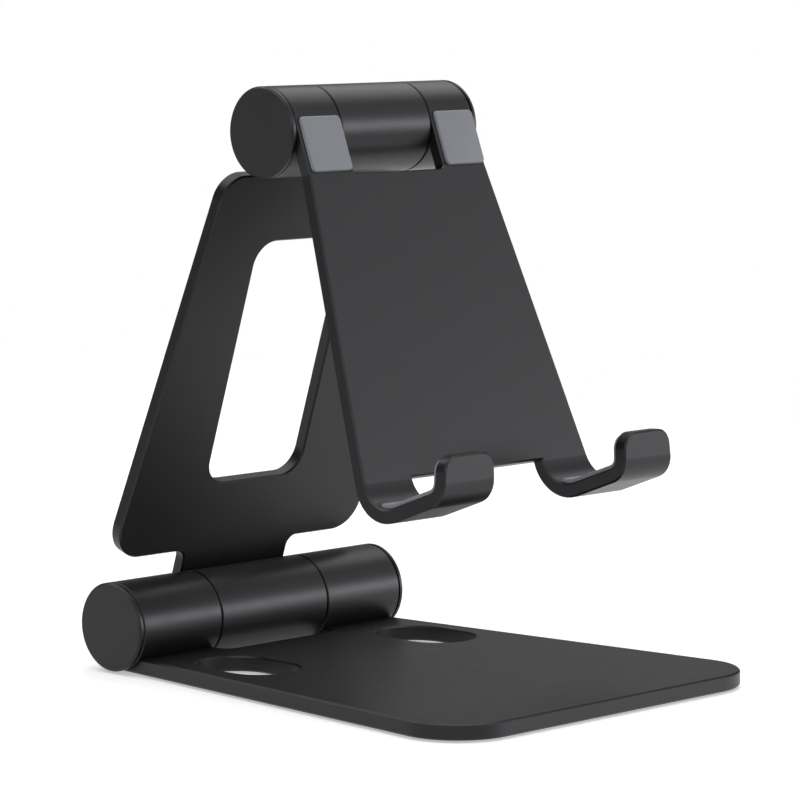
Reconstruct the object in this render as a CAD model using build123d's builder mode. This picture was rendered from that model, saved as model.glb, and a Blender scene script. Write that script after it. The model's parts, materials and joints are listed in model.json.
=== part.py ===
from build123d import *
import math
import os

# Folding phone stand: a base plate, an arm and a phone cradle, joined by two
# friction hinges. Millimetres. X runs along both hinges, +Y is the back of the
# stand, +Z is up. The origin is on the table, under the middle of the stand.

# ---- hinge barrels ----
barrel_r = 8.0
seam = 0.3                      # gap between neighbouring knuckles
knuckle_bevel = 0.15
lower_middle_half = 13.4        # half length of the arm's knuckle, to mid seam
lower_barrel_half = 32.3        # half length of the barrel without its end caps
upper_middle_half = 11.2
upper_barrel_half = 22.0

# ---- plates ----
base_thickness = 2.8
plate_thickness = 2.5           # arm and cradle
edge_bevel = 0.3
arm_length = 93.3               # hinge axis to hinge axis
arm_lean = 17.8                 # degrees forward of upright
cradle_lean = 20.5              # degrees back of upright
shoulder_gap = 10.2             # plate shoulders to the nearest hinge axis

# ---- base ----
base_back_half = 31.4
base_front_half = 40.3
base_depth = 91.3               # lower hinge axis to the front edge
base_corner_r = 11.0
base_notch_half = 14.1
base_notch_depth = 9.6
base_notch_r = 2.5
slot_offset_x = 22.6
slot_offset_y = 24.2
slot_width = 13.8
slot_centres = 6.6

# ---- foot pads ----
foot_proud = 0.4                # how far the pads stand below the base
foot_recess = 0.8
foot_gap = 0.05
foot_corner_r = 5.0
front_foot_back = 40.0          # distance behind the lower hinge axis, forwards
front_foot_front = 84.3
front_foot_margin = 7.0         # to the side edges of the base
rear_foot_half = 12.0
rear_foot_back = 13.5
rear_foot_front = 31.5

# ---- arm ----
arm_bottom_half = 31.2
arm_top_half = 23.0
arm_bottom_corner_r = 6.0
arm_top_corner_r = 5.0
neck_fillet = 2.0
neck_step = 0.15                # the neck is this much narrower than its knuckle
window_half = 11.7
window_bottom = 23.3
window_top = 70.2
window_corner_r = 4.5

# ---- cradle ----
cradle_taper = 0.1145           # extra half width for each millimetre down
cradle_notch_depth = 10.5
cradle_notch_r = 1.0
hook_floor = 73.1               # hinge axis to the underside of the hooks
lip_root = 25.6                 # hinge axis to the corner that floor and lip would meet in
lip_length = 7.8                # from that corner
lip_lean = 18.5                 # degrees that the lip opens away from the plate
lip_corner_r = 2.9
bend_outer_r = 8.0
lip_bend_outer_r = 4.5
cable_notch_half = 16.5
cable_notch_top = 64.8

# ---- silicone pads ----
prong_pad_thickness = 0.6
prong_pad_length = 10.0
prong_pad_inset = 0.45
prong_pad_corner_r = 0.9
prong_pad_bevel = 0.2
hook_pad_thickness = 0.7
hook_pad_inset = 0.6
hook_pad_wrap = 35.0            # degrees that the pad follows the bend up the cradle
hook_pad_tip_r = 0.3

# ---- hinge hardware ----
bolt_r = 2.5
running_gap = 0.05
bush_r = 3.75
bush_length = 6.0
pocket_r = 5.1                  # pockets at the barrel ends
pocket_depth = 7.2
head_r = 4.25
head_length = 2.8
hex_key = 4.0
hex_key_depth = 1.6
washer_r = 4.9
washer_thickness = 0.8
disc_height = 0.7
disc_thickness = 0.45
nut_flats = 8.0
nut_length = 3.2
bolt_end = 0.3                  # thread that stands past the nut
friction_r = 6.4
friction_seat = 0.3             # depth of the washer's seat in the middle knuckle
friction_gap = 0.02             # to the face of the outer knuckle
cap_length = 1.2
cap_bevel = 0.35
cap_groove = 0.3
cap_groove_r = 7.55
spigot_length = 1.0
spigot_gap = 0.02

# ---- tolerances of the edge selectors ----
parallel = 0.999                # least cosine between directions that count as one
near = 0.3                      # distance within which two places count as one

# ---- derived ----
lower_axis_y = (base_depth - barrel_r) / 2
lower_axis_z = foot_proud + barrel_r
upper_axis_y = lower_axis_y - arm_length * math.sin(math.radians(arm_lean))
upper_axis_z = lower_axis_z + arm_length * math.cos(math.radians(arm_lean))
lower_axis = (0, lower_axis_y, lower_axis_z)
upper_axis = (0, upper_axis_y, upper_axis_z)
hole_r = bolt_r + running_gap
plate_back = barrel_r - plate_thickness
hook_inner_floor = hook_floor - plate_thickness
lip_sin = math.sin(math.radians(lip_lean))
lip_cos = math.cos(math.radians(lip_lean))
lip_turn = (1 - lip_sin) / lip_cos      # step in of the lip's corner for each millimetre of depth
hook_reach = lip_root + lip_length * lip_sin
pad_depth = plate_thickness + hook_pad_thickness
bend_inner_r = bend_outer_r - plate_thickness
lip_bend_inner_r = lip_bend_outer_r - plate_thickness
bend_centre = (hook_floor - bend_outer_r, plate_back + bend_outer_r)
friction_thickness = friction_seat + seam - friction_gap


def facing(lean):
    """Front normal of a plate that leans forward of upright, in degrees."""
    return (0, -math.cos(math.radians(lean)), -math.sin(math.radians(lean)))


def base_half(forward):
    """Half width of the base at a distance in front of the lower hinge axis."""
    return base_back_half + (base_front_half - base_back_half) * forward / base_depth


def cradle_half(drop):
    """Half width of the cradle at a distance below the upper hinge axis."""
    return upper_barrel_half + cradle_taper * (drop - shoulder_gap)


# The table plane has its y = 0 under the lower hinge axis. The other two pass
# through a hinge axis: x along the hinge, y up the plate, z out of its front.
table_plane = Plane((0, lower_axis_y, 0))
arm_plane = Plane(lower_axis, x_dir=(1, 0, 0), z_dir=facing(arm_lean))
cradle_plane = Plane(upper_axis, x_dir=(1, 0, 0), z_dir=facing(-cradle_lean))


def cradle_section(x):
    """Plane across the cradle: x down the plate, y out of its front face."""
    start = cradle_plane.from_local_coords((x, 0, 0))
    return Plane(start, x_dir=-cradle_plane.y_dir, z_dir=(-1, 0, 0))


def turn(axis, profile, mode=Mode.ADD):
    """Turn a closed profile of (x, radius) points about a hinge axis."""
    with BuildSketch(Plane(axis, x_dir=(1, 0, 0), z_dir=(0, -1, 0))) as half_section:
        with BuildLine():
            Polyline(*profile, close=True)
        make_face()
    revolve(half_section.sketch, Axis(axis, (1, 0, 0)), mode=mode)


def turn_ring(axis, start, end, inner_r, outer_r, mode=Mode.ADD):
    """Plain ring, or a rod when the inner radius is 0."""
    turn(axis, [(start, inner_r), (end, inner_r), (end, outer_r), (start, outer_r)], mode)


def turn_knuckle(axis, start, end):
    """Solid knuckle with a small bevel at both ends."""
    profile = [
        (start, 0),
        (end, 0),
        (end, barrel_r - knuckle_bevel),
        (end - knuckle_bevel, barrel_r),
        (start + knuckle_bevel, barrel_r),
        (start, barrel_r - knuckle_bevel),
    ]
    turn(axis, profile)


def add_outer_knuckles(axis, middle_half, barrel_half):
    """Two outer knuckles, each with a bolt hole and a pocket at its outer end."""
    inner = middle_half + seam / 2
    for side in (-1, 1):
        start, end = sorted((side * inner, side * barrel_half))
        turn_knuckle(axis, start, end)
    reach = barrel_half + seam
    turn_ring(axis, -reach, reach, 0, hole_r, Mode.SUBTRACT)
    for side in (-1, 1):
        floor, mouth = side * (barrel_half - pocket_depth), side * reach
        turn_ring(axis, floor, mouth, 0, pocket_r, Mode.SUBTRACT)


def add_middle_knuckle(axis, middle_half):
    """The arm's knuckle, with a bush bore and a washer seat at each end."""
    half = middle_half - seam / 2
    turn_knuckle(axis, -half, half)
    turn_ring(axis, -half, half, 0, bush_r, Mode.SUBTRACT)
    for side in (-1, 1):
        floor, mouth = side * (half - friction_seat), side * (half + seam)
        turn_ring(axis, floor, mouth, 0, friction_r + running_gap, Mode.SUBTRACT)


def bevel_outline(builder, normal, keep):
    """Bevel the edges of the faces across a normal, where keep(centre) is true."""
    faces = builder.faces().filter_by(lambda f: abs(f.normal_at().dot(Vector(normal))) > parallel)
    chamfer(faces.edges().filter_by(lambda edge: keep(edge.center())), edge_bevel)


def foot_outlines(grow):
    """Front and rear foot pad outlines, seen from above, each larger by grow."""
    with BuildSketch(mode=Mode.PRIVATE) as outlines:
        with BuildLine():
            Polyline(
                (-base_half(front_foot_back) + front_foot_margin, -front_foot_back),
                (base_half(front_foot_back) - front_foot_margin, -front_foot_back),
                (base_half(front_foot_front) - front_foot_margin, -front_foot_front),
                (-base_half(front_foot_front) + front_foot_margin, -front_foot_front),
                close=True,
            )
        make_face()
        with Locations((0, -(rear_foot_back + rear_foot_front) / 2)):
            Rectangle(2 * rear_foot_half, rear_foot_front - rear_foot_back)
        fillet(outlines.vertices(), foot_corner_r)
        if grow:
            offset(amount=grow)
    return outlines.sketch


def finish(builder, name):
    """Label a finished piece and write its file."""
    builder.part.label = name
    export_step(builder.part, f"parts/{name}.step")


os.makedirs("parts", exist_ok=True)

# ---- base plate with its two outer knuckles ----
with BuildPart() as base_plate:
    with BuildSketch(table_plane.offset(foot_proud)) as base_outline:
        with BuildLine():
            Polyline(
                (-base_back_half, 0),
                (base_back_half, 0),
                (base_front_half, -base_depth),
                (-base_front_half, -base_depth),
                close=True,
            )
        make_face()
        fillet(base_outline.vertices().group_by(Axis.Y)[0], base_corner_r)
        with BuildSketch(mode=Mode.PRIVATE) as base_notch:
            Rectangle(2 * base_notch_half, 2 * base_notch_depth)
            fillet(base_notch.vertices(), base_notch_r)
        add(base_notch.sketch, mode=Mode.SUBTRACT)
        with Locations((-slot_offset_x, -slot_offset_y), (slot_offset_x, -slot_offset_y)):
            SlotCenterToCenter(slot_centres, slot_width, rotation=90, mode=Mode.SUBTRACT)
    extrude(amount=base_thickness)
    bevel_outline(base_plate, (0, 0, 1), lambda centre: centre.Y < lower_axis_y - near)
    add_outer_knuckles(lower_axis, lower_middle_half, lower_barrel_half)
    with BuildSketch(table_plane.offset(foot_proud)):
        add(foot_outlines(foot_gap))
    extrude(amount=foot_recess, mode=Mode.SUBTRACT)
finish(base_plate, "base_plate")

# ---- foot pads ----
foot_pads = foot_outlines(0).faces().sort_by(Axis.Y)
for name, pad_face in (("foot_pad_front", foot_pads[0]), ("foot_pad_rear", foot_pads[-1])):
    with BuildPart() as foot_pad:
        with BuildSketch(table_plane):
            add(pad_face)
        extrude(amount=foot_proud + foot_recess)
    finish(foot_pad, name)

# ---- arm with its two middle knuckles ----
with BuildPart() as arm_plate:
    lower_neck_half = lower_middle_half - seam / 2 - neck_step
    upper_neck_half = upper_middle_half - seam / 2 - neck_step
    bottom, top = shoulder_gap, arm_length - shoulder_gap
    with BuildSketch(arm_plane.offset(-barrel_r)) as arm_outline:
        with BuildLine():
            Polyline(
                (-arm_bottom_half, bottom),
                (arm_bottom_half, bottom),
                (arm_top_half, top),
                (-arm_top_half, top),
                close=True,
            )
        make_face()
        fillet(arm_outline.vertices().group_by(Axis.Y)[0], arm_bottom_corner_r)
        fillet(arm_outline.vertices().group_by(Axis.Y)[-1], arm_top_corner_r)
        with Locations((0, bottom / 2)):
            Rectangle(2 * lower_neck_half, bottom)
        with Locations((0, (arm_length + top) / 2)):
            Rectangle(2 * upper_neck_half, shoulder_gap)
        fillet(
            arm_outline.vertices().filter_by(
                lambda v: abs(v.X) < upper_neck_half + near and abs(v.Y - top) < near
                or abs(v.X) < lower_neck_half + near and abs(v.Y - bottom) < near
            ),
            neck_fillet,
        )
        with BuildSketch(mode=Mode.PRIVATE) as window:
            with Locations((0, (window_bottom + window_top) / 2)):
                Rectangle(2 * window_half, window_top - window_bottom)
            fillet(window.vertices(), window_corner_r)
        add(window.sketch, mode=Mode.SUBTRACT)
    extrude(amount=plate_thickness)
    bevel_outline(
        arm_plate,
        facing(arm_lean),
        lambda centre: near < arm_plane.to_local_coords(centre).Y < arm_length - near,
    )
    add_middle_knuckle(lower_axis, lower_middle_half)
    add_middle_knuckle(upper_axis, upper_middle_half)
finish(arm_plate, "arm_plate")

# ---- cradle with its two outer knuckles and its hooks ----
cradle_length = hook_floor + plate_thickness     # longer than any part of the sheet
cradle_cut = 2 * hook_reach                      # deeper than the hooks


def cradle_outline(inset):
    """Tapered cradle outline on its own plane, narrower by inset on each side."""
    with BuildSketch(cradle_plane, mode=Mode.PRIVATE) as outline:
        with BuildLine():
            Polyline(
                (-upper_barrel_half + inset, 0),
                (upper_barrel_half - inset, 0),
                (upper_barrel_half - inset, -shoulder_gap),
                (cradle_half(cradle_length) - inset, -cradle_length),
                (-cradle_half(cradle_length) + inset, -cradle_length),
                (-upper_barrel_half + inset, -shoulder_gap),
                close=True,
            )
        make_face()
    return outline.sketch


def lip_corner(depth):
    """Corner of the hook's floor and lip as (drop, front), at a depth inside the sheet."""
    return (hook_floor - depth, lip_root - depth * lip_turn)


def lip_end(depth, inset=0):
    """End of the lip as (drop, front), at a depth inside the sheet, shorter by inset."""
    along = lip_length - inset
    return (
        hook_floor - along * lip_cos - depth * lip_sin,
        lip_root + along * lip_sin - depth * lip_cos,
    )


def seen_at(edge, place):
    """True for an edge whose centre is at a (drop, front) place in the side view."""
    local = cradle_plane.to_local_coords(edge.center())
    return math.hypot(local.Y + place[0], local.Z - place[1]) < near


def runs_through(edge):
    """True for a straight edge square to the faces of the plate or of the lip."""
    lip_normal = cradle_plane.z_dir * lip_cos - cradle_plane.y_dir * lip_sin
    tangent = edge.tangent_at(0.5)
    return max(abs(tangent.dot(cradle_plane.z_dir)), abs(tangent.dot(lip_normal))) > parallel


def is_cradle_edge(edge):
    """Edges of the cradle's outline, without its bend lines and its corners."""
    centre = edge.center()
    if abs(cradle_plane.to_local_coords(centre).Y) < near:
        return False
    if abs(edge.tangent_at(0.5).X) > parallel:
        at_lip_end = seen_at(edge, lip_end(0)) or seen_at(edge, lip_end(plate_thickness))
        return abs(centre.X) < near or at_lip_end
    return not (runs_through(edge) and edge.length < plate_thickness + edge_bevel)


with BuildPart() as cradle_plate:
    half_span = cradle_half(cradle_length)
    with BuildSketch(cradle_section(half_span)) as bent_sheet:
        with BuildLine():
            Polyline(
                (0, plate_back),
                (hook_floor, plate_back),
                lip_corner(0),
                lip_end(0),
                lip_end(plate_thickness),
                lip_corner(plate_thickness),
                (hook_inner_floor, barrel_r),
                (0, barrel_r),
                close=True,
            )
        make_face()
        corners = [
            ((hook_floor, plate_back), bend_outer_r),
            ((hook_inner_floor, barrel_r), bend_inner_r),
            (lip_corner(0), lip_bend_outer_r),
            (lip_corner(plate_thickness), lip_bend_inner_r),
        ]
        for place, radius in corners:
            fillet(bent_sheet.vertices().sort_by_distance(place)[0], radius)
    extrude(amount=2 * half_span)
    extrude(cradle_outline(0), amount=cradle_cut, both=True, mode=Mode.INTERSECT)
    with BuildSketch(cradle_plane) as cradle_notches:
        with BuildSketch(mode=Mode.PRIVATE) as top_notch:
            Rectangle(2 * upper_middle_half + seam, 2 * cradle_notch_depth)
            fillet(top_notch.vertices(), cradle_notch_r)
        add(top_notch.sketch)
        with Locations((0, -cradle_length)):
            Rectangle(2 * cable_notch_half, 2 * (cradle_length - cable_notch_top))
    extrude(amount=cradle_cut, both=True, mode=Mode.SUBTRACT)
    lip_corners = cradle_plate.edges().filter_by(
        lambda edge: seen_at(edge, lip_end(plate_thickness / 2)) and runs_through(edge)
    )
    fillet(lip_corners, lip_corner_r)
    chamfer(cradle_plate.edges().filter_by(is_cradle_edge), edge_bevel)
    add_outer_knuckles(upper_axis, upper_middle_half, upper_barrel_half)
finish(cradle_plate, "cradle_plate")

# ---- silicone pads on the prongs ----
prong_pad_inner = upper_middle_half + seam / 2 + prong_pad_inset
prong_pad_outer = upper_barrel_half - prong_pad_inset
for name, side in (("prong_pad_left", -1), ("prong_pad_right", 1)):
    with BuildPart() as prong_pad:
        middle = side * (prong_pad_inner + prong_pad_outer) / 2
        with BuildSketch(cradle_plane.offset(barrel_r)) as prong_outline:
            with Locations((middle, -prong_pad_length / 2)):
                Rectangle(prong_pad_outer - prong_pad_inner, prong_pad_length)
            fillet(prong_outline.vertices(), prong_pad_corner_r)
        extrude(amount=prong_pad_thickness)
        front_face = prong_pad.faces().sort_by(Axis(upper_axis, cradle_plane.z_dir))[-1]
        chamfer(front_face.edges(), prong_pad_bevel)
    finish(prong_pad, name)

# ---- silicone pads in the hooks ----
for name, side in (("hook_pad_left", -1), ("hook_pad_right", 1)):
    with BuildPart() as hook_pad:
        with BuildSketch(cradle_section(half_span)) as pad_section:
            with BuildLine():
                under = CenterArc(bend_centre, bend_inner_r, -hook_pad_wrap, hook_pad_wrap)
                over = CenterArc(bend_centre, bend_inner_r - hook_pad_thickness, 0, -hook_pad_wrap)
                Polyline(
                    under @ 1,
                    lip_corner(plate_thickness),
                    lip_end(plate_thickness, hook_pad_inset),
                    lip_end(pad_depth, hook_pad_inset),
                    lip_corner(pad_depth),
                    over @ 0,
                )
                Line(over @ 1, under @ 0)
            make_face()
            corners = [
                (lip_corner(plate_thickness), lip_bend_inner_r + running_gap),
                (lip_corner(pad_depth), lip_bend_inner_r - hook_pad_thickness),
                (under @ 0, hook_pad_tip_r),
                (over @ 1, hook_pad_tip_r),
            ]
            for place, radius in corners:
                fillet(pad_section.vertices().sort_by_distance(place)[0], radius)
        extrude(amount=2 * half_span)
        extrude(cradle_outline(hook_pad_inset), amount=cradle_cut, both=True, mode=Mode.INTERSECT)
        with BuildSketch(cradle_plane):
            with Locations((side * (cable_notch_half + hook_pad_inset), 0)):
                Rectangle(
                    half_span,
                    2 * cradle_length,
                    align=(Align.MIN if side > 0 else Align.MAX, Align.CENTER),
                )
        extrude(amount=cradle_cut, both=True, mode=Mode.INTERSECT)
        pad_end = lip_end((plate_thickness + pad_depth) / 2, hook_pad_inset)
        pad_corners = hook_pad.edges().filter_by(
            lambda edge: seen_at(edge, pad_end) and runs_through(edge)
        )
        fillet(pad_corners, lip_corner_r - hook_pad_inset)
    finish(hook_pad, name)


# ---- hinge hardware, the same in both hinges ----
def make_head_bolt(axis, head_seat, thread_end):
    """Low-head bolt with its head at the left and a hex socket in the head."""
    with BuildPart() as bolt:
        turn_ring(axis, head_seat - head_length, head_seat, 0, head_r)
        turn_ring(axis, head_seat, thread_end, 0, bolt_r)
        head_face = Plane(axis, x_dir=(0, 1, 0), z_dir=(1, 0, 0)).offset(head_seat - head_length)
        with BuildSketch(head_face) as socket:
            RegularPolygon(hex_key / 2, 6, major_radius=False)
        extrude(socket.sketch, amount=hex_key_depth, mode=Mode.SUBTRACT)
        rim = bolt.edges().filter_by(GeomType.CIRCLE).group_by(Axis.X)
        chamfer(rim[0], knuckle_bevel)
        chamfer(rim[-1], knuckle_bevel)
    return bolt


def make_ring(axis, start, end, outer_r):
    """Flat washer or bush that fits the bolt."""
    with BuildPart() as ring:
        turn_ring(axis, start, end, hole_r, outer_r)
    return ring


def make_disc_spring(axis, start, end):
    """Conical disc spring whose hole is at start and whose rim is at end."""
    with BuildPart() as disc:
        thick = math.copysign(disc_thickness, end - start)
        profile = [
            (start, hole_r),
            (start + thick, hole_r),
            (end, washer_r),
            (end - thick, washer_r),
        ]
        turn(axis, profile)
    return disc


def make_nut(axis, start):
    """Hexagon nut."""
    with BuildPart() as nut:
        with BuildSketch(Plane(axis, x_dir=(0, 1, 0), z_dir=(1, 0, 0)).offset(start)) as hexagon:
            RegularPolygon(nut_flats / 2, 6, major_radius=False)
            Circle(hole_r, mode=Mode.SUBTRACT)
        extrude(hexagon.sketch, amount=nut_length)
    return nut


def make_end_cap(axis, barrel_half, side):
    """Barrel end cap: bevelled disc, grooved neck and a spigot in the pocket."""
    with BuildPart() as cap:
        profile = [
            (barrel_half - spigot_length, 0),
            (barrel_half - spigot_length, pocket_r - spigot_gap),
            (barrel_half, pocket_r - spigot_gap),
            (barrel_half, cap_groove_r),
            (barrel_half + cap_groove, cap_groove_r),
            (barrel_half + cap_groove, barrel_r),
            (barrel_half + cap_length - cap_bevel, barrel_r),
            (barrel_half + cap_length, barrel_r - cap_bevel),
            (barrel_half + cap_length, 0),
        ]
        turn(axis, [(side * x, radius) for x, radius in profile])
    return cap


hinges = (
    ("lower", lower_axis, lower_middle_half, lower_barrel_half),
    ("upper", upper_axis, upper_middle_half, upper_barrel_half),
)
for hinge, axis, middle_half, barrel_half in hinges:
    seat = barrel_half - pocket_depth
    first_disc = seat + washer_thickness
    nut_start = first_disc + 2 * disc_height
    thread_end = nut_start + nut_length + bolt_end
    bolt = make_head_bolt(axis, -seat - washer_thickness, thread_end)
    finish(bolt, f"{hinge}_hinge_bolt")
    head_washer = make_ring(axis, -seat - washer_thickness, -seat, washer_r)
    finish(head_washer, f"{hinge}_head_washer")
    nut_washer = make_ring(axis, seat, first_disc, washer_r)
    finish(nut_washer, f"{hinge}_nut_washer")
    inner_disc = make_disc_spring(axis, first_disc, first_disc + disc_height)
    finish(inner_disc, f"{hinge}_disc_spring_inner")
    outer_disc = make_disc_spring(axis, nut_start, nut_start - disc_height)
    finish(outer_disc, f"{hinge}_disc_spring_outer")
    finish(make_nut(axis, nut_start), f"{hinge}_hinge_nut")
    washer_floor = middle_half - seam / 2 - friction_seat
    for end, side in (("left", -1), ("right", 1)):
        start, stop = sorted((side * washer_floor, side * (washer_floor + friction_thickness)))
        finish(make_ring(axis, start, stop, friction_r), f"{hinge}_friction_washer_{end}")
        start, stop = sorted((side * washer_floor, side * (washer_floor - bush_length)))
        finish(make_ring(axis, start, stop, bush_r), f"{hinge}_bush_{end}")
        finish(make_end_cap(axis, barrel_half, side), f"{hinge}_end_cap_{end}")
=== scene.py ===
"""Folding phone stand in black anodised aluminium: looks, light and camera around the CAD frame."""

import json
import math

import bmesh
import bpy
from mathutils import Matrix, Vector


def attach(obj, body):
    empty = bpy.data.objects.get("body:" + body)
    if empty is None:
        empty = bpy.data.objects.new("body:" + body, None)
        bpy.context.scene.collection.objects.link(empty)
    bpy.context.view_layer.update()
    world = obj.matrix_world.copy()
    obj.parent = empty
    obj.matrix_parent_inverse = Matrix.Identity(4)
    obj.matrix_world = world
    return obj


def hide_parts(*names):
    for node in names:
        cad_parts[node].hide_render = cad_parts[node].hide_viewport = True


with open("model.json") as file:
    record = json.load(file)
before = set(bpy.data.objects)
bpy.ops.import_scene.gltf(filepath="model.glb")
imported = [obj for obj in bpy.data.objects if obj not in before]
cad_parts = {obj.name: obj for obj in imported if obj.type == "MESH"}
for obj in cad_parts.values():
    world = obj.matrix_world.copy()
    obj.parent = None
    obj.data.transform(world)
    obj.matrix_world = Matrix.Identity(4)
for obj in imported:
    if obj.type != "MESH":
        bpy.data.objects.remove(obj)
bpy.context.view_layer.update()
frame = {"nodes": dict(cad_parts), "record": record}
NODES = frame["nodes"]
MM = 0.001

# ---- camera: the photograph's viewing angle, with a long lens ----
VIEW_AZIMUTH = -45.75       # degrees, 0 looks along +Y
VIEW_ELEVATION = 6.44
VIEW_DISTANCE = 0.709
LOOK_AT = Vector((0.0005, 0.0025, 0.0496))
SENSOR_WIDTH = 36.0         # millimetres, like the lens
LENS = 180.56
CLIP_END = 20.0

# ---- colours, linear ----
BLACK_ANODISED = (0.0046, 0.0047, 0.0053)
ANODISED_SHEEN = (0.94, 0.96, 1.0, 1.0)     # highlights are slightly blue
GREY_SILICONE = (0.168, 0.174, 0.195)
BLACK_SILICONE = (0.022, 0.022, 0.024)
ZINC_STEEL = (0.46, 0.46, 0.47)
NATURAL_POLYMER = (0.70, 0.68, 0.61)
FLOOR_WHITE = (0.60, 0.60, 0.60)
WHITE = (1, 1, 1, 1)

# ---- moulded pads ----
RIM_RADIUS = 0.12 * MM      # the soft rim of a moulded pad
RIM_SEGMENTS = 3
RIM_ANGLE = math.radians(35)        # an edge sharper than this gets a rim
FLAT_ANGLE = math.radians(1)        # facets flatter than this are one face
WELD_DISTANCE = 0.001 * MM

# ---- studio ----
FLOOR_FAR = 40.0            # to the left and to the back
FLOOR_NEAR = 0.35           # to the right and to the front, where the studio is dark
FLOOR_GLOW = 0.45           # the floor is a light table, so shadows stay pale
CEILING_STARTS = 0.6        # height of a direction's unit vector
CEILING_FULL = 1.0
CEILING_LIGHT = 2.7
WALL_LIGHT = 0.12
BACKDROP_LIGHT = 1.0        # what the camera sees past the floor
STAND_MIDDLE = (0, 0, 0.05)
BASE_MIDDLE = (0, 0, 0.02)
UPPER_HINGE = (0, 0.013, 0.097)
SOFTBOXES = {               # place, what it faces, size and power in watts
    "low_softbox": ((2.6, -2.5, 0.50), STAND_MIDDLE, (2.1, 0.85), 50.0),
    "high_panel": ((2.3, -1.75, 1.75), STAND_MIDDLE, (1.8, 1.2), 6.5),
    "side_panel": ((0.295, 0.13, 0.34), UPPER_HINGE, (0.24, 0.135), 0.2),
    "back_panel": ((1.3, 1.2, 0.36), BASE_MIDDLE, (1.6, 0.62), 0.66),
    "edge_light_front": ((-1.65, -1.48, 0.95), STAND_MIDDLE, (0.8, 0.8), 9.0),
    "edge_light_back": ((-0.25, 1.5, 1.55), BASE_MIDDLE, (0.7, 0.5), 4.0),
}


# ---------------------------------------------------------------- materials
class Nodes:
    """A material's node tree, with short ways to add and join nodes."""

    def __init__(self, name):
        self.material = bpy.data.materials.new(name)
        self.material.use_nodes = True
        self.tree = self.material.node_tree
        self.shader = self.tree.nodes["Principled BSDF"]
        self.place = self.add("ShaderNodeTexCoord").outputs["Object"]

    def add(self, kind):
        return self.tree.nodes.new(kind)

    def join(self, output, target):
        self.tree.links.new(output, target)

    def noise(self, scale, detail):
        """Noise over the object's own coordinates, with about scale grains to the metre."""
        node = self.add("ShaderNodeTexNoise")
        node.inputs["Scale"].default_value = scale
        node.inputs["Detail"].default_value = detail
        self.join(self.place, node.inputs["Vector"])
        return node.outputs["Fac"]

    def spread(self, value, low, high):
        """A 0 to 1 value spread over a range."""
        node = self.add("ShaderNodeMapRange")
        node.inputs["To Min"].default_value = low
        node.inputs["To Max"].default_value = high
        self.join(value, node.inputs["Value"])
        return node.outputs["Result"]

    def tint(self, value, dark, light):
        """A 0 to 1 value turned into a colour, flat at both ends of the range."""
        ramp = self.add("ShaderNodeValToRGB")
        for stop, position, colour in zip(ramp.color_ramp.elements, (0.3, 0.7), (dark, light)):
            stop.position = position
            stop.color = (*colour, 1)
        self.join(value, ramp.inputs["Fac"])
        return ramp.outputs["Color"]

    def bump(self, height, strength, distance, before=None):
        """A bumped normal, on top of the one before where there is one."""
        node = self.add("ShaderNodeBump")
        node.inputs["Strength"].default_value = strength
        node.inputs["Distance"].default_value = distance
        self.join(height, node.inputs["Height"])
        if before is not None:
            self.join(before, node.inputs["Normal"])
        return node.outputs["Normal"]

    def finish(self, colour, roughness, normal, **constants):
        """Joins the three to the shader, and sets the shader's other inputs by name."""
        self.join(colour, self.shader.inputs["Base Color"])
        self.join(roughness, self.shader.inputs["Roughness"])
        self.join(normal, self.shader.inputs["Normal"])
        for key, value in constants.items():
            self.shader.inputs[key.replace("_", " ")].default_value = value
        return self.material


def scaled(colour, factor):
    return tuple(channel * factor for channel in colour)


def worn(n, colour, dark, light):
    """A colour that varies slowly over the part, as a dyed or moulded finish does."""
    return n.tint(n.noise(scale=90, detail=4), scaled(colour, dark), scaled(colour, light))


def anodised_aluminium():
    """Bead-blasted, black anodised: a fine even grain with slight clouding."""
    n = Nodes("anodised_aluminium")
    colour = worn(n, BLACK_ANODISED, dark=0.88, light=1.12)
    roughness = n.spread(n.noise(scale=260, detail=4), low=0.36, high=0.42)
    grain = n.bump(n.noise(scale=9000, detail=2), strength=0.16, distance=0.02 * MM)
    normal = n.bump(n.noise(scale=2600, detail=3), strength=0.07, distance=0.03 * MM, before=grain)
    return n.finish(colour, roughness, normal, IOR=1.41, Specular_Tint=ANODISED_SHEEN)


def silicone(name, colour):
    """Moulded silicone: satin, with a very fine skin texture and a soft sheen."""
    n = Nodes(name)
    tone = worn(n, colour, dark=0.96, light=1.04)
    roughness = n.spread(n.noise(scale=600, detail=3), low=0.42, high=0.54)
    normal = n.bump(n.noise(scale=5200, detail=2), strength=0.10, distance=0.02 * MM)
    return n.finish(tone, roughness, normal, IOR=1.41, Sheen_Weight=0.12)


def zinc_steel():
    """Zinc plate: bright, with slightly uneven gloss."""
    n = Nodes("hardware_steel")
    colour = worn(n, ZINC_STEEL, dark=0.85, light=1.1)
    roughness = n.spread(n.noise(scale=900, detail=4), low=0.24, high=0.38)
    normal = n.bump(n.noise(scale=3000, detail=2), strength=0.08, distance=0.02 * MM)
    return n.finish(colour, roughness, normal, Metallic=1.0)


def natural_polymer():
    """Uncoloured bearing polymer, machined."""
    n = Nodes("hinge_polymer")
    colour = worn(n, NATURAL_POLYMER, dark=0.95, light=1.03)
    roughness = n.spread(n.noise(scale=800, detail=3), low=0.40, high=0.52)
    normal = n.bump(n.noise(scale=4000, detail=2), strength=0.06, distance=0.02 * MM)
    return n.finish(colour, roughness, normal, IOR=1.5)


def floor_paint():
    """Matt white that glows a little."""
    n = Nodes("floor")
    colour = n.tint(n.noise(scale=3, detail=2), scaled(FLOOR_WHITE, 0.995), FLOOR_WHITE)
    roughness = n.spread(n.noise(scale=5, detail=2), low=0.78, high=0.82)
    normal = n.bump(n.noise(scale=40, detail=2), strength=0.01, distance=0.1 * MM)
    return n.finish(colour, roughness, normal, Emission_Color=WHITE, Emission_Strength=FLOOR_GLOW)


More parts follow.
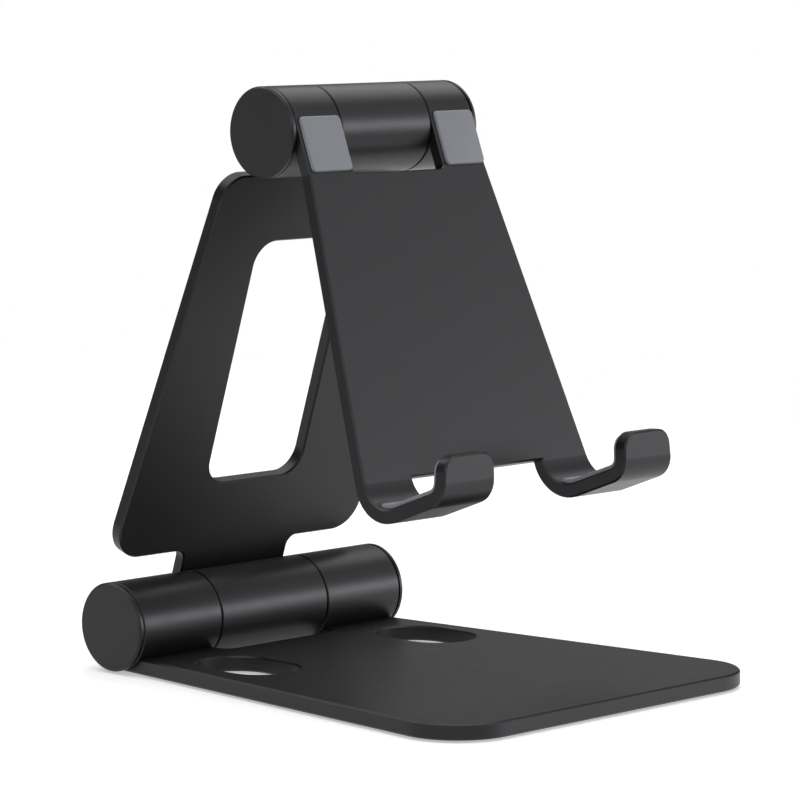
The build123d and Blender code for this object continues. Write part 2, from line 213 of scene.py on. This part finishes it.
FINISHES = {
    "anodised_aluminium": anodised_aluminium(),
    "pad_silicone": silicone("pad_silicone", GREY_SILICONE),
    "foot_silicone": silicone("foot_silicone", BLACK_SILICONE),
    "hardware_steel": zinc_steel(),
    "hinge_polymer": natural_polymer(),
}


def set_material(obj, material):
    obj.data.materials.clear()
    obj.data.materials.append(material)


SLOT_OF = {row["node"]: row["material_slot"] for row in frame["record"]["subparts"]}
for node_name, node in NODES.items():
    set_material(node, FINISHES[SLOT_OF[node_name]])


# ---------------------------------------------------------------- silicone pads
BODIES = frame["record"]["behaviour"]["bodies"]
BODY_OF = {node_name: body for body, names in BODIES.items() for node_name in names}
PAD_SLOTS = ("pad_silicone", "foot_silicone")


def moulded_pad(node_name):
    """A pad on its CAD solid's own shape, with every sharp edge rounded as moulding leaves it."""
    mesh = NODES[node_name].data.copy()
    work = bmesh.new()
    work.from_mesh(mesh)
    bmesh.ops.remove_doubles(work, verts=work.verts, dist=WELD_DISTANCE)
    bmesh.ops.dissolve_limit(work, angle_limit=FLAT_ANGLE, verts=work.verts, edges=work.edges)
    sharp = [e for e in work.edges if e.is_manifold and e.calc_face_angle(0) > RIM_ANGLE]
    bmesh.ops.bevel(
        work, geom=sharp, offset=RIM_RADIUS, offset_type="OFFSET", segments=RIM_SEGMENTS,
        profile=0.5, affect="EDGES", clamp_overlap=True,
    )
    bmesh.ops.triangulate(work, faces=work.faces)
    work.normal_update()
    work.to_mesh(mesh)
    work.free()
    mesh.shade_smooth()
    pad = bpy.data.objects.new(f"{node_name}_moulded", mesh)
    bpy.context.scene.collection.objects.link(pad)
    set_material(pad, FINISHES[SLOT_OF[node_name]])
    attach(pad, BODY_OF[node_name])
    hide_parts(node_name)


for node_name in NODES:
    if SLOT_OF[node_name] in PAD_SLOTS:
        moulded_pad(node_name)


# ---------------------------------------------------------------- studio
def area_light(name, place, target, size, power):
    """A rectangular softbox at place that faces target."""
    light = bpy.data.lights.new(name, "AREA")
    light.shape = "RECTANGLE"
    light.size, light.size_y = size
    light.energy = power
    obj = bpy.data.objects.new(name, light)
    obj.location = place
    obj.rotation_euler = (Vector(target) - Vector(place)).to_track_quat("-Z", "Y").to_euler()
    bpy.context.scene.collection.objects.link(obj)


def studio_world():
    """A bright soft ceiling over darker walls, behind a backdrop that only the camera sees."""
    world = bpy.data.worlds.new("studio")
    world.use_nodes = True
    tree = world.node_tree
    background = tree.nodes["Background"]
    background.inputs["Color"].default_value = WHITE
    direction = tree.nodes.new("ShaderNodeTexCoord")
    height = tree.nodes.new("ShaderNodeSeparateXYZ")
    tree.links.new(direction.outputs["Generated"], height.inputs[0])
    ceiling = tree.nodes.new("ShaderNodeMapRange")
    ceiling.interpolation_type = "SMOOTHSTEP"
    ceiling.inputs["From Min"].default_value = CEILING_STARTS
    ceiling.inputs["From Max"].default_value = CEILING_FULL
    ceiling.inputs["To Min"].default_value = WALL_LIGHT
    ceiling.inputs["To Max"].default_value = CEILING_LIGHT
    tree.links.new(height.outputs["Z"], ceiling.inputs["Value"])
    seen = tree.nodes.new("ShaderNodeLightPath")
    strength = tree.nodes.new("ShaderNodeMix")
    tree.links.new(seen.outputs["Is Camera Ray"], strength.inputs["Factor"])
    tree.links.new(ceiling.outputs["Result"], strength.inputs["A"])
    strength.inputs["B"].default_value = BACKDROP_LIGHT
    tree.links.new(strength.outputs["Result"], background.inputs["Strength"])
    bpy.context.scene.world = world


floor_offset = (FLOOR_FAR - FLOOR_NEAR) / 2
bpy.ops.mesh.primitive_plane_add(
    size=FLOOR_FAR + FLOOR_NEAR, location=(-floor_offset, floor_offset, 0)
)
floor = bpy.context.object
floor.name = "floor"
set_material(floor, floor_paint())

studio_world()
bpy.context.scene.view_settings.view_transform = "Standard"
for name, (place, target, size, power) in SOFTBOXES.items():
    area_light(name, place, target, size, power)

azimuth, elevation = math.radians(VIEW_AZIMUTH), math.radians(VIEW_ELEVATION)
back = Vector((
    math.sin(azimuth) * math.cos(elevation),
    -math.cos(azimuth) * math.cos(elevation),
    math.sin(elevation),
))
camera_data = bpy.data.cameras.new("camera")
camera_data.sensor_width = SENSOR_WIDTH
camera_data.lens = LENS
camera_data.clip_end = CLIP_END
camera = bpy.data.objects.new("camera", camera_data)
camera.location = LOOK_AT + VIEW_DISTANCE * back
camera.rotation_euler = (-back).to_track_quat("-Z", "Y").to_euler()
bpy.context.scene.collection.objects.link(camera)
bpy.context.scene.camera = camera
